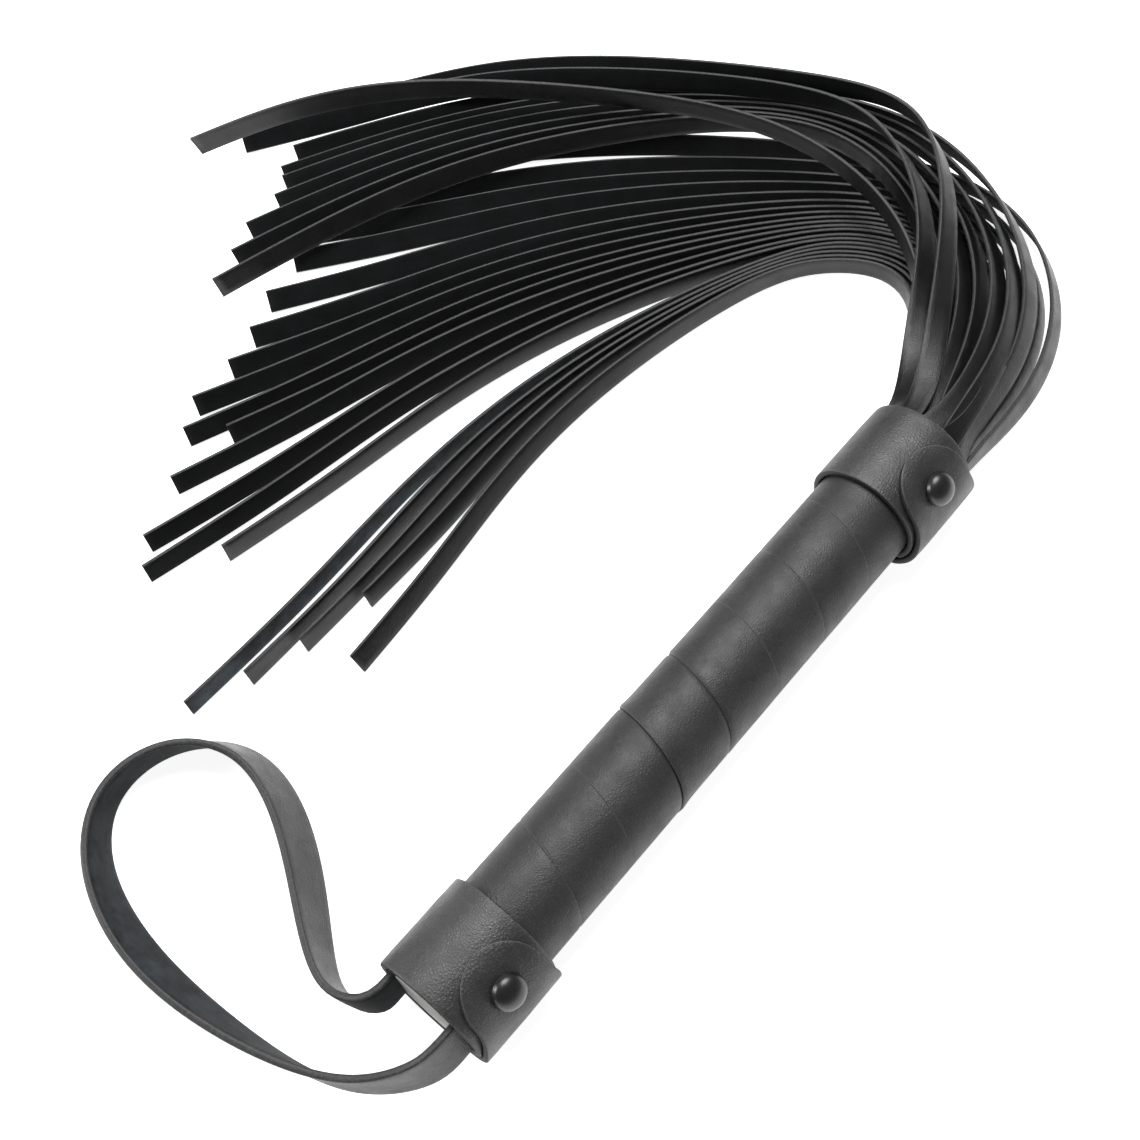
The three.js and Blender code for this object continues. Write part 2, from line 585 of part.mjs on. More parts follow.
function tailRoute(layer, [ring, angle, lane, tipX, tipY, lean]) {
  const r = TAIL_RINGS[ring];
  const y = AXIS_Y - r * Math.sin(radians(angle));
  const z = AXIS_Z + r * Math.cos(radians(angle));
  const upright = angle > OUTWARD_FROM ? 180 : 0;
  const points = [[TAIL_ROOT_X, y, z], [TAIL_ROOT_X + 4, y, z]];
  const bend = layer.inner.map(([x, yy], i) => {
    const [outerX, outerY] = layer.outer[i];
    return [mix(x, outerX, lane), mix(yy, outerY, lane)];
  });
  bend.forEach(([x, yy], i) => {
    points.push([x, yy, mix(z, layer.bendHeight, smoothstep(layer.fall[i]))]);
  });
  const [lastX, lastY] = bend.at(-1);
  const [beforeX, beforeY] = bend.at(-2);
  const far = Math.hypot(tipX - lastX, tipY - lastY);
  const near = Math.hypot(lastX - beforeX, lastY - beforeY);
  FAN_PLACES.forEach((f, i) => {
    const carry = layer.carry * far * f * (1 - f) ** 2;
    const x = mix(lastX, tipX, f) + carry * (lastX - beforeX) / near;
    const yy = mix(lastY, tipY, f) + carry * (lastY - beforeY) / near;
    points.push([x, yy, layer.fanHeights[i]]);
  });
  const open = mix(layer.open[0], layer.open[1], lane);
  const inBend = upright === 180 ? upright - open : upright;
  return points.map((p, i) => {
    const leaning = smoothstep((i - 6) / 3) * lean;
    const [x, yy, height] = settled([...p, leaning], TAIL_WIDTH, TAIL_THICKNESS);
    const opened = mix(90 + angle, inBend, smoothstep((i - 1) / 3));
    return [x, yy, height, mix(opened, upright, smoothstep((i - 4) / 3)) + leaning];
  });
}

let tailNumber = 0;
function addTail(layer, tail) {
  const { route, total } = evenRoute(tailRoute(layer, tail), TAIL_STEPS, TAIL_LENGTH);
  const taper = (f) => smoothstep((f * total - ROOT_TAPER[0]) / (ROOT_TAPER[1] - ROOT_TAPER[0]));
  const sizeAt = (f) => mix(ROOT_SIZE, 1, taper(f));
  tailNumber += 1;
  const name = `tail_${String(tailNumber).padStart(2, '0')}`;
  addNode(whip, name, stripGeometry(route, TAIL_WIDTH, TAIL_THICKNESS, sizeAt), tailLeather());
}
LOW_TAILS.forEach((tail) => addTail(LAYERS.low, tail));
HIGH_TAILS.forEach((tail) => addTail(LAYERS.high, tail));
OVER_TAILS.forEach((tail) => addTail(LAYERS.over, tail));
TOP_TAILS.forEach((tail) => addTail(LAYERS.top, tail));

export default whip;
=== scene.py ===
"""A black leather whip with many flat tails, lying on a pale table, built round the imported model."""
import math
import random

import bpy
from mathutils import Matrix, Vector, noise


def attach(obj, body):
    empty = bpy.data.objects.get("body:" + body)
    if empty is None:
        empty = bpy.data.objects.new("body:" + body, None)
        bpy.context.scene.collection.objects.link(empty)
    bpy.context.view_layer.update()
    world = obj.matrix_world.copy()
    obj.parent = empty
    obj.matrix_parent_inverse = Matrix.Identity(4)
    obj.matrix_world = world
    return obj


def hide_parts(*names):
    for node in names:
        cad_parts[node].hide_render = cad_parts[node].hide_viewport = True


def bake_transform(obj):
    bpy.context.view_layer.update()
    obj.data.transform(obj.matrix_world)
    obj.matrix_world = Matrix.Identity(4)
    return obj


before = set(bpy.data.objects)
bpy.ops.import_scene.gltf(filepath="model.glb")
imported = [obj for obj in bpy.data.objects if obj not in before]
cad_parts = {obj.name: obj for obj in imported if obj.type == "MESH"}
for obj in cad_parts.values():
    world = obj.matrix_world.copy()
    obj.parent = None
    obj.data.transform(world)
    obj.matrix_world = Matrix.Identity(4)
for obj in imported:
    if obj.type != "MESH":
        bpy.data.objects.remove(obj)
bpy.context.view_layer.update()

MM = 0.001
random.seed(7)

# ---------------------------------------------------------------- sizes, in millimetres, as in the CAD
HANDLE_LENGTH = 183
HALF = HANDLE_LENGTH / 2
AXIS_Y = 0.95            # the collar laps stand out on -Y, so the axis sits this far to +Y
AXIS_Z = 14.75           # height of the handle's axis over the table
GAP = 0.3                # clearance kept between touching pieces
TABLE_GAP = 0.15         # clearance kept between the table and what lies on it
WRAP_PITCH = 17.8
WRAP_SEAM_X = 2          # where one of its seams crosses the top of the handle
WRAP_END = HALF - 20
WRAP_INNER = 11.7
WRAP_OUTER = 13.0
COLLAR_LENGTH = 25
COLLAR_INNER = 13.3
COLLAR_THICKNESS = 1.6
LAP_INNER = 15.2
LAP_OUTER = 16.8
LAP_TIP_RADIUS = 10.6
RIVET_ANGLE = 45
RIVET_CAP_RADIUS = 4.3
RIVET_CAP_HEIGHT = 2.9
BUTT_RIVET_X = -HALF + COLLAR_LENGTH / 2 + 0.5
HEAD_RIVET_X = HALF - COLLAR_LENGTH / 2 - 0.5
STRAP_WIDTH = 13
STRAP_THICKNESS = 1.8
STRAP_FLAT = 8.8         # distance of the core's flats under the strap ends from the axis
STRAP_LIE = STRAP_WIDTH / 2 + TABLE_GAP   # height of the strap where it stands on its edge
STRAP_END_LENGTH = 9.5   # length of each strap end inside the butt collar
NEAR_STRAP_ANGLE = 70    # degrees from the top of the handle toward -Y
FAR_STRAP_ANGLE = -100
TAIL_WIDTH = 6.2
TAIL_THICKNESS = 1
TAIL_LENGTH = 310        # no tail is longer
TAIL_ROOT_X = HALF - 3

# ---------------------------------------------------------------- camera and light
CAMERA_PLACE = (-0.1148, -0.0592, 0.3703)
CAMERA_TILT = 24.5       # degrees from straight down
CAMERA_TURN = -49.4      # degrees about the vertical
CAMERA_LENS = 50.5
SKY = 0.2                # brightness of the even light all round
SOFTBOX_WATTS = 17
SIDE_WATTS = 7
FLOOR_GLOW = 0.85         # a light table, so that the shadows stay faint


def add_camera():
    data = bpy.data.cameras.new("camera")
    data.lens = CAMERA_LENS
    data.sensor_width = 36
    camera = bpy.data.objects.new("camera", data)
    camera.location = CAMERA_PLACE
    camera.rotation_euler = (math.radians(CAMERA_TILT), 0, math.radians(CAMERA_TURN))
    bpy.context.collection.objects.link(camera)
    bpy.context.scene.camera = camera


def add_area_light(name, place, target, size, watts):
    data = bpy.data.lights.new(name, "AREA")
    data.shape = "DISK"
    data.size = size
    data.energy = watts
    light = bpy.data.objects.new(name, data)
    light.location = place
    light.rotation_euler = (Vector(target) - Vector(place)).to_track_quat("-Z", "Y").to_euler()
    bpy.context.collection.objects.link(light)


# ---------------------------------------------------------------- node helpers
class Nodes:
    """Adds shader nodes to one material and links them by name."""

    def __init__(self, name):
        self.material = bpy.data.materials.new(name)
        self.material.use_nodes = True
        self.tree = self.material.node_tree
        self.tree.nodes.clear()
        self.output = self.tree.nodes.new("ShaderNodeOutputMaterial")
        self.shader = self.tree.nodes.new("ShaderNodeBsdfPrincipled")
        self.link(self.shader, "BSDF", self.output, "Surface")
        self.place = self.tree.nodes.new("ShaderNodeTexCoord")

    def link(self, a, out, b, into):
        self.tree.links.new(a.outputs[out], b.inputs[into])

    def noise(self, scale, detail=4.0, roughness=0.6):
        node = self.tree.nodes.new("ShaderNodeTexNoise")
        node.inputs["Scale"].default_value = scale
        node.inputs["Detail"].default_value = detail
        node.inputs["Roughness"].default_value = roughness
        self.link(self.place, "Object", node, "Vector")
        return node

    def cells(self, scale, feature="F1"):
        node = self.tree.nodes.new("ShaderNodeTexVoronoi")
        node.feature = feature
        node.inputs["Scale"].default_value = scale
        self.link(self.place, "Object", node, "Vector")
        return node

    def ramp(self, source, out, stops):
        node = self.tree.nodes.new("ShaderNodeValToRGB")
        elements = node.color_ramp.elements
        while len(elements) < len(stops):
            elements.new(0.5)
        for element, (place, colour) in zip(elements, stops):
            element.position = place
            element.color = (*colour, 1) if len(colour) == 3 else colour
        self.link(source, out, node, "Fac")
        return node

    def spread(self, source, out, low, high, from_low=0.0, from_high=1.0):
        node = self.tree.nodes.new("ShaderNodeMapRange")
        node.inputs["From Min"].default_value = from_low
        node.inputs["From Max"].default_value = from_high
        node.inputs["To Min"].default_value = low
        node.inputs["To Max"].default_value = high
        self.link(source, out, node, "Value")
        return node

    def bump(self, source, out, distance, strength=1.0, under=None):
        node = self.tree.nodes.new("ShaderNodeBump")
        node.inputs["Distance"].default_value = distance
        node.inputs["Strength"].default_value = strength
        self.link(source, out, node, "Height")
        if under is not None:
            self.link(under, "Normal", node, "Normal")
        return node

    def mix(self, kind, factor, a, a_out, b, b_out):
        node = self.tree.nodes.new("ShaderNodeMix")
        node.data_type = "RGBA"
        node.blend_type = kind
        if isinstance(factor, tuple):
            self.link(factor[0], factor[1], node, 0)
        else:
            node.inputs[0].default_value = factor
        self.tree.links.new(a.outputs[a_out], node.inputs[6])
        self.tree.links.new(b.outputs[b_out], node.inputs[7])
        return node

    def set(self, **values):
        for name, value in values.items():
            self.shader.inputs[name.replace("_", " ")].default_value = value


def grey(value, tint=(1.0, 1.0, 1.0)):
    """A colour of this brightness, grey unless tinted."""
    return tuple(value * t for t in tint)


def grained_leather(name, dark, light, grain, depth, rough, specular):
    """Smooth side of black leather: pebbled grain, blotchy dye, rubbed high spots."""
    n = Nodes(name)
    blotches = n.noise(70, 5, 0.62)
    dye = n.ramp(blotches, "Fac", [(0.3, grey(dark)), (0.72, grey(light))])
    pebbles = n.cells(grain, "DISTANCE_TO_EDGE")
    rubbed = n.ramp(pebbles, "Distance", [(0.0, grey(0.35)), (0.3, grey(1.0)), (1.0, grey(1.25))])
    surface = n.tree.nodes.new("ShaderNodeNewGeometry")
    high = n.ramp(surface, "Pointiness", [(0.52, grey(0.0)), (0.62, grey(1.0))])
    lifted = n.mix("MULTIPLY", 0.5, dye, "Color", rubbed, "Color")
    rubbed_through = grey(light * 2.6, (1, 0.99, 0.97))
    scuffed = n.ramp(blotches, "Fac", [(0.3, grey(light * 1.6)), (0.7, rubbed_through)])
    colour = n.mix("MIX", (high, "Color"), lifted, 2, scuffed, "Color")
    n.tree.links.new(colour.outputs[2], n.shader.inputs["Base Color"])
    patches = n.noise(160, 4, 0.6)
    shine = n.spread(patches, "Fac", rough - 0.07, rough + 0.1, 0.3, 0.7)
    n.link(shine, "Result", n.shader, "Roughness")
    fine = n.noise(5200, 3, 0.6)
    creases = n.noise(420, 6, 0.7)
    first = n.bump(pebbles, "Distance", depth, 0.7)
    second = n.bump(creases, "Fac", depth * 1.6, 0.35, first)
    third = n.bump(fine, "Fac", depth * 0.35, 0.5, second)
    n.link(third, "Normal", n.shader, "Normal")
    n.set(Specular_IOR_Level=specular)
    return n.material


def suede(name, dark, light):
    """Back of the leather: short fibres, cool grey bloom, no gloss."""
    n = Nodes(name)
    fibres = n.noise(3600, 5, 0.75)
    clouds = n.noise(180, 4, 0.6)
    cool_dark = grey(dark, (0.9, 1.0, 1.08))
    cool_light = grey(light, (0.86, 1.0, 1.12))
    base = n.ramp(clouds, "Fac", [(0.3, cool_dark), (0.75, cool_light)])
    flecks = n.ramp(fibres, "Fac", [(0.35, grey(0.55)), (0.7, grey(1.0))])
    colour = n.mix("MULTIPLY", 0.8, base, "Color", flecks, "Color")
    n.tree.links.new(colour.outputs[2], n.shader.inputs["Base Color"])
    nap = n.bump(fibres, "Fac", 0.00012, 0.6)
    n.link(nap, "Normal", n.shader, "Normal")
    rough = n.spread(clouds, "Fac", 0.82, 0.95)
    n.link(rough, "Result", n.shader, "Roughness")
    n.set(Specular_IOR_Level=0.12, Sheen_Weight=0.05, Sheen_Roughness=0.5)
    return n.material


def cut_edge(name, dark, light, rough=0.5):
    """Cut and burnished leather edge: layered fibres along the cut, slightly polished."""
    n = Nodes(name)
    fibres = n.noise(1500, 6, 0.7)
    colour = n.ramp(fibres, "Fac", [(0.32, grey(dark)), (0.7, grey(light))])
    n.link(colour, "Color", n.shader, "Base Color")
    rough_map = n.spread(fibres, "Fac", rough - 0.08, rough + 0.15)
    n.link(rough_map, "Result", n.shader, "Roughness")
    lumps = n.bump(fibres, "Fac", 0.0001, 0.5)
    n.link(lumps, "Normal", n.shader, "Normal")
    n.set(Specular_IOR_Level=0.45)
    return n.material


def painted_metal(name, value, rough):
    """Gloss black enamel with faint dust and fine scratches."""
    n = Nodes(name)
    dust = n.noise(900, 5, 0.7)
    colour = n.ramp(dust, "Fac", [(0.4, grey(value)), (0.8, grey(value * 2.2))])
    n.link(colour, "Color", n.shader, "Base Color")
    scratches = n.noise(2600, 2, 0.5)
    shine = n.spread(scratches, "Fac", rough, rough + 0.12)
    n.link(shine, "Result", n.shader, "Roughness")
    ripple = n.bump(dust, "Fac", 0.00002, 0.3)
    n.link(ripple, "Normal", n.shader, "Normal")
    n.set(Specular_IOR_Level=0.6)
    return n.material


def core_end(name):
    """Pale grey sealed wood of the handle's core, with its end grain."""
    n = Nodes(name)
    rings = n.tree.nodes.new("ShaderNodeTexWave")
    rings.wave_type = "RINGS"
    rings.rings_direction = "X"
    rings.inputs["Scale"].default_value = 420
    rings.inputs["Distortion"].default_value = 3
    rings.inputs["Detail"].default_value = 3
    n.link(n.place, "Object", rings, "Vector")
    speck = n.noise(1400, 5, 0.7)
    ring_colour = n.ramp(rings, "Fac", [(0.2, (0.30, 0.30, 0.29)), (0.8, (0.40, 0.40, 0.385))])
    speck_colour = n.ramp(speck, "Fac", [(0.3, grey(0.7)), (0.7, grey(1.0))])
    colour = n.mix("MULTIPLY", 0.7, ring_colour, "Color", speck_colour, "Color")
    n.tree.links.new(colour.outputs[2], n.shader.inputs["Base Color"])
    n.set(Roughness=0.75)
    pores = n.bump(speck, "Fac", 0.0001, 0.4)
    n.link(pores, "Normal", n.shader, "Normal")
    return n.material


def plain_steel(name):
    """Bare steel of the hidden tacks, lightly brushed."""
    n = Nodes(name)
    brush = n.noise(2000, 3, 0.6)
    colour = n.ramp(brush, "Fac", [(0.3, grey(0.4)), (0.7, grey(0.55))])
    n.link(colour, "Color", n.shader, "Base Color")
    shine = n.spread(brush, "Fac", 0.3, 0.45)
    n.link(shine, "Result", n.shader, "Roughness")
    n.set(Metallic=1.0)
    return n.material


GRIP = grained_leather("grip_leather", 0.02, 0.036, 1500, 0.00016, 0.5, 0.46)
COLLAR = grained_leather("collar_leather", 0.024, 0.042, 1300, 0.00018, 0.46, 0.6)
STRAP = grained_leather("strap_leather", 0.014, 0.03, 1600, 0.0002, 0.44, 0.46)
TAIL = grained_leather("tail_leather", 0.004, 0.008, 1900, 0.0001, 0.38, 0.34)
STRAP_BACK = suede("strap_suede", 0.012, 0.05)
TAIL_BACK = suede("tail_suede", 0.003, 0.008)
PALE_BACK = suede("pale_tail_suede", 0.04, 0.13)
# The cut edges of the tails, the wrist strap and the wrap are coloured lighter than their faces: a painted
# highlight for the thin light lines that the edges catch. The fibre flecks are the cut's own texture.
EDGE = cut_edge("cut_edge", 0.008, 0.05)
# The outer corner of each collar's cut edge is a light line: rubbed wear together with a painted highlight
# where the rim catches the light.
COLLAR_RIM_PAINTED_HIGHLIGHT = cut_edge("collar_rubbed_rim_painted_highlight", 0.012, 0.1, 0.5)
# The rest of the collars' cut edges is near black: the edge's own dark colour plus painted shade for the
# dark gap round the lap's outline.
COLLAR_EDGE_PAINTED_GAP_SHADE = cut_edge("collar_cut_edge_painted_gap_shade", 0.001, 0.006, 0.6)
BLACK_METAL = painted_metal("rivet_enamel", 0.006, 0.28)
WOOD = core_end("core_wood")
STEEL = plain_steel("tack_steel")


# ---------------------------------------------------------------- mesh helpers
def clamp(value, low=0.0, high=1.0):
    return max(low, min(high, value))


def smoothstep(t):
    c = clamp(t)
    return c * c * (3 - 2 * c)


def blend_value(a, b, t):
    return a + (b - a) * t


def around(x, r, angle):
    """A point in millimetres at distance r from the handle's axis, angle from the top toward -Y."""
    a = math.radians(angle)
    return Vector((x, AXIS_Y - r * math.sin(a), AXIS_Z + r * math.cos(a)))


def mesh_object(name, points, faces, materials, face_material):
    mesh = bpy.data.meshes.new(name)
    mesh.from_pydata([tuple(p * MM) for p in points], [], faces)
    for material in materials:
        mesh.materials.append(material)
    for polygon, index in zip(mesh.polygons, face_material):
        polygon.material_index = index
        polygon.use_smooth = True
    mesh.update()
    piece = bpy.data.objects.new(name, mesh)
    bpy.context.collection.objects.link(piece)
    return piece


def swept(name, rings, segment_material, materials):
    """A closed skin through rings of points; segment_material gives each side strip's material."""
    count = len(rings[0])
    points = [p for ring in rings for p in ring]
    faces, face_material = [], []
    for i in range(len(rings) - 1):
        for j in range(count):
            a = i * count + j
            b = i * count + (j + 1) % count
            faces.append((a, b, b + count, a + count))
            face_material.append(segment_material[j])
    end_material = max(segment_material)
    last = (len(rings) - 1) * count
    faces.append(tuple(range(count - 1, -1, -1)))
    faces.append(tuple(range(last, last + count)))
    face_material += [end_material, end_material]
    return mesh_object(name, points, faces, materials, face_material)


# ---------------------------------------------------------------- routes, as in the CAD
def spline_point(points, t):
    """A point of the uniform cubic B-spline over a list of lists, t from 0 to 1, ends held."""
    padded = [points[0], points[0], *points, points[-1], points[-1]]
    spans = len(padded) - 3
    at = min(t * spans, spans - 1e-9)
    i = int(at)
    f = at - i
    weights = (
        (1 - f) ** 3 / 6,
        (3 * f ** 3 - 6 * f ** 2 + 4) / 6,
        (-3 * f ** 3 + 3 * f ** 2 + 3 * f + 1) / 6,
        f ** 3 / 6,
    )
    return [sum(w * padded[i + j][k] for j, w in enumerate(weights)) for k in range(len(points[0]))]


def even_route(points, steps, length=math.inf):
    """The route cut into equal steps of its own length, and its length."""
    fine = 900
    samples = [spline_point(points, i / fine) for i in range(fine + 1)]
    run = [0.0]
    for a, b in zip(samples, samples[1:]):
        run.append(run[-1] + math.dist(a[:3], b[:3]))
    total = min(length, run[-1])
    route = []
    j = 1
    for s in range(steps + 1):
        want = total * s / steps
        while j < fine and run[j] < want:
            j += 1
        f = (want - run[j - 1]) / (run[j] - run[j - 1])
        route.append([blend_value(a, b, f) for a, b in zip(samples[j - 1], samples[j])])
    return route, total


def settled(point, width, thickness):
    """A leaning strip stands lower than an upright one: the point drops by what the lean takes away."""
    x, y, z, roll = point
    lean = abs(roll - 180 if roll > 90 else roll)
    drop = math.radians(min(lean, 60))
    return [x, y, z - (1 - math.cos(drop)) * width / 2 + math.sin(drop) * thickness / 2, roll]


def strip_rings(route, outline):
    """Rings of a flat strip: outline points are (across the width, through the thickness)."""
    rings = []
    up = Vector((0, 0, 1))
    for i, p in enumerate(route):
        a = Vector(route[max(0, i - 1)][:3])
        b = Vector(route[min(len(route) - 1, i + 1)][:3])
        along = (b - a).normalized()
        side = along.cross(up).normalized()
        lift = side.cross(along).normalized()
        roll = math.radians(p[3])
        wide = lift * math.cos(roll) + side * math.sin(roll)
        thick = along.cross(wide)
        centre = Vector(p[:3])
        rings.append([centre + wide * w + thick * t for w, t in outline])
    return rings


def strip_section(width, thickness, corner, cup, across=5):
    """Closed outline of a strip: smooth face on -t, back on +t, and two rounded edges."""
    half, deep = width / 2, thickness / 2
    inner = half - corner
    points, kinds = [], []

    def bowed(w, t):
        return (w, t + cup * (1 - (w / half) ** 2))

    for k in range(across):
        w = blend_value(-inner, inner, k / (across - 1))
        points.append(bowed(w, -deep))
        kinds.append(0 if k < across - 1 else 2)
    for a in (-60, -30, 0, 30, 60):
        r = math.radians(a)
        points.append(bowed(inner + corner * math.cos(r), deep * math.sin(r)))
        kinds.append(2)
    for k in range(across):
        w = blend_value(inner, -inner, k / (across - 1))
        points.append(bowed(w, deep))
        kinds.append(1 if k < across - 1 else 2)
    for a in (60, 30, 0, -30, -60):
        r = math.radians(a)
        points.append(bowed(-inner - corner * math.cos(r), deep * math.sin(r)))
        kinds.append(2)
    return points, kinds


# ---------------------------------------------------------------- tails
TAIL_RINGS = [12.2, 10.2, 8.2]
TABLE_HEIGHT = TAIL_WIDTH / 2 + TABLE_GAP
SECOND_HEIGHT = TABLE_HEIGHT + TAIL_WIDTH + 0.7
THIRD_HEIGHT = SECOND_HEIGHT + TAIL_WIDTH + 0.9
# The layers lie on each other. A lane is a place from the inner side of a layer's bend, 0, to its
# outer side, 1. Along the layer, fall is how far a tail has come down from the mouth to bend_height,
# and fan_heights are its heights from there to the tip. open is how many degrees its smooth face is
# turned up in the bend, on the inner and on the outer side, and carry is how strongly it runs on in
# the bend's last direction before it turns to its tip.
LAYERS = {
    "low": {
        "inner": [[100, 12], [117, 22], [133, 29], [139, 42], [129, 57], [113, 68]],
        "outer": [[101, -13], [125, -15], [155, -7], [178, 13], [183, 38], [172, 68]],
        "fall": [0.12, 0.35, 0.62, 0.86, 1, 1],
        "bend_height": TABLE_HEIGHT,
        "open": [0, 45],
        "carry": 0.9,
        "fan_heights": [TABLE_HEIGHT, TABLE_HEIGHT, TABLE_HEIGHT, TABLE_HEIGHT],
    },
    "high": {
        "inner": [[101, 8], [121, 18], [143, 33], [158, 54], [162, 79], [147, 105]],
        "outer": [[101, -6], [125, -5], [150, 5], [171, 26], [181, 56], [171, 88]],
        "fall": [0.12, 0.28, 0.5, 0.7, 0.9, 1],
        "bend_height": SECOND_HEIGHT,
        "open": [50, 50],
        "carry": 0.9,
        "fan_heights": [SECOND_HEIGHT, SECOND_HEIGHT, SECOND_HEIGHT, TABLE_HEIGHT],
    },
    "over": {
        "inner": [[100, 12], [118, 22], [140, 34], [158, 50], [168, 72], [160, 96]],
        "outer": [[101, 7], [119, 16], [141, 28], [164, 43], [179, 62], [172, 86]],
        "fall": [0, 0, 0.1, 0.3, 0.6, 0.9],
        "bend_height": THIRD_HEIGHT,
        "open": [60, 60],
        "carry": 0.85,
        "fan_heights": [THIRD_HEIGHT, THIRD_HEIGHT, SECOND_HEIGHT, TABLE_HEIGHT],
    },
    "top": {
        "inner": [[100, 9], [118, 19], [138, 35], [149, 58], [149, 86], [138, 113]],
        "outer": [[100, 9], [118, 19], [138, 35], [149, 58], [149, 86], [138, 113]],
        "fall": [0, 0, 0.1, 0.3, 0.6, 0.9],
        "bend_height": THIRD_HEIGHT,
        "open": [50, 50],
        "carry": 0.75,
        "fan_heights": [THIRD_HEIGHT + 2, THIRD_HEIGHT + 4, THIRD_HEIGHT, TABLE_HEIGHT],
    },
}
FAN_PLACES = [0.22, 0.48, 0.76, 1]   # where the fan's route points are, on the way to the tip
OUTWARD_FROM = -60   # tails from past this angle turn their smooth face to the outside of the bend
FLESH_OUT = [5]      # tails laid the other way over, with their pale suede side up
TAIL_STEPS = 110
TAIL_CORNER = 0.28   # rounding of the cut edges
TAIL_CUP = 0.16      # the most that a tail is bowed across its width, to either side
TAIL_WAVER = 7       # degrees that a tail's free part turns to and fro

# ring, angle round the mouth, lane, tip x, tip y, lean at the tip, from the inner lane outward
LOW_TAILS = [
    (0, -110, 0, -41, 73, 40),
    (1, -118, 0.05, -27, 83, 22),
    (0, -140, 0.1, -46, 86.5, 20),
    (2, -140, 0.148, -61, 90.5, 18),
    (1, -150, 0.195, -76, 96, 12),
    (0, -167, 0.237, -41, 119, 20),
    (1, 178, 0.281, -58, 130, 21),
    (2, 172, 0.33, -52, 136, 24),
    (0, 166, 0.365, -36, 143, 26),
    (2, 138, 0.4, -16, 143, 26),
    (1, 148, 0.44, -24, 151, 30),
    (0, 139, 0.48, -16, 156, 35),
    (2, 74, 0.52, -2, 157, 40),
    (2, 106, 0.565, 9, 160, 45),
    (1, 120, 0.62, 20, 165, 50),
    (0, 112, 0.68, 34, 169, 50),
    (1, 103, 0.74, 42, 173.5, 50),
    (1, 86, 0.82, 49, 178, 50),
    (0, 85, 0.92, 66, 182.5, 50),
]
HIGH_TAILS = [
    (1, -82, 0, 14, 178.5, 30),
    (1, -48, 0.16, 24, 181.5, 32),
    (1, -14, 0.32, 33, 185, 40),
    (1, 20, 0.49, 45, 186, 45),
    (0, 0, 0.65, 51, 189, 45),
    (0, 28, 0.82, 53, 191.5, 45),
    (0, 57, 1, 57, 196, 45),
]
OVER_TAILS = [
    (0, -56, 0, 54, 209, 45),
    (0, -28, 0.8, 62, 209.5, 45),
]
TOP_TAILS = [
    (0, -84, 0, 44, 218, 12),
]


def tail_route(layer, tail):
    """x, y, z and roll along a tail: out of the collar, round the bend in its lane, and to its tip."""
    ring, angle, lane, tip_x, tip_y, lean = tail
    root = around(TAIL_ROOT_X, TAIL_RINGS[ring], angle)
    upright = 180 if angle > OUTWARD_FROM else 0
    opened_by = blend_value(*layer["open"], lane)
    in_bend = upright - opened_by if upright == 180 else upright
    points = [[root.x, root.y, root.z], [root.x + 4, root.y, root.z]]
    bend = [
        [blend_value(a, b, lane) for a, b in zip(inner, outer)]
        for inner, outer in zip(layer["inner"], layer["outer"])
    ]
    for (x, y), fall in zip(bend, layer["fall"]):
        points.append([x, y, blend_value(root.z, layer["bend_height"], smoothstep(fall))])
    (before_x, before_y), (last_x, last_y) = bend[-2:]
    far = math.hypot(tip_x - last_x, tip_y - last_y)
    near = math.hypot(last_x - before_x, last_y - before_y)
    for f, height in zip(FAN_PLACES, layer["fan_heights"]):
        carry = layer["carry"] * far * f * (1 - f) ** 2
        x = blend_value(last_x, tip_x, f) + carry * (last_x - before_x) / near
        y = blend_value(last_y, tip_y, f) + carry * (last_y - before_y) / near
        points.append([x, y, height])
    route = []
    for i, p in enumerate(points):
        leaning = smoothstep((i - 6) / 3) * lean
        x, y, z, _ = settled([*p, leaning], TAIL_WIDTH, TAIL_THICKNESS)
        opened = blend_value(90 + angle, in_bend, smoothstep((i - 1) / 3))
        roll = blend_value(opened, upright, smoothstep((i - 4) / 3)) + leaning
        route.append([x, y, z, roll])
    return route


def add_tail(number, layer, tail):
    name = f"tail_{number:02d}"
    route, total = even_route(tail_route(LAYERS[layer], tail), TAIL_STEPS, TAIL_LENGTH)
    phase = random.uniform(0, 50)
    for i, p in enumerate(route):
        f = i / (len(route) - 1)
        free = smoothstep((f - 0.3) / 0.4)
        p[3] += free * TAIL_WAVER * noise.noise(Vector((phase, f * 5, 0)))
    cup = random.uniform(-TAIL_CUP, TAIL_CUP)
    outline, kinds = strip_section(TAIL_WIDTH, TAIL_THICKNESS, TAIL_CORNER, cup)
    rings = strip_rings(route, outline)
    faces = [PALE_BACK, TAIL, EDGE] if number in FLESH_OUT else [TAIL, TAIL_BACK, EDGE]
    piece = swept(f"{name}_strip", rings, kinds, faces)
    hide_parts(name)
    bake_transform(piece)


def add_tails():
    number = 0
    lists = {"low": LOW_TAILS, "high": HIGH_TAILS, "over": OVER_TAILS, "top": TOP_TAILS}
    for layer, tails in lists.items():
        for tail in tails:
            number += 1
            add_tail(number, layer, tail)


# ---------------------------------------------------------------- wrist strap
LOOP_START = 1.5       # where the free loop begins, outside the collar's edge
STRAP_STEPS = 150
STRAP_CORNER = 0.45
STRAP_CUP = 0.12


def strap_exit(angle, x):
    """Where the strap runs straight into the collar, turned as it lies on the core's flat."""
    place = around(x, STRAP_FLAT + GAP + STRAP_THICKNESS / 2, angle)
    return [place.x, place.y, place.z, 90 - abs(angle)]


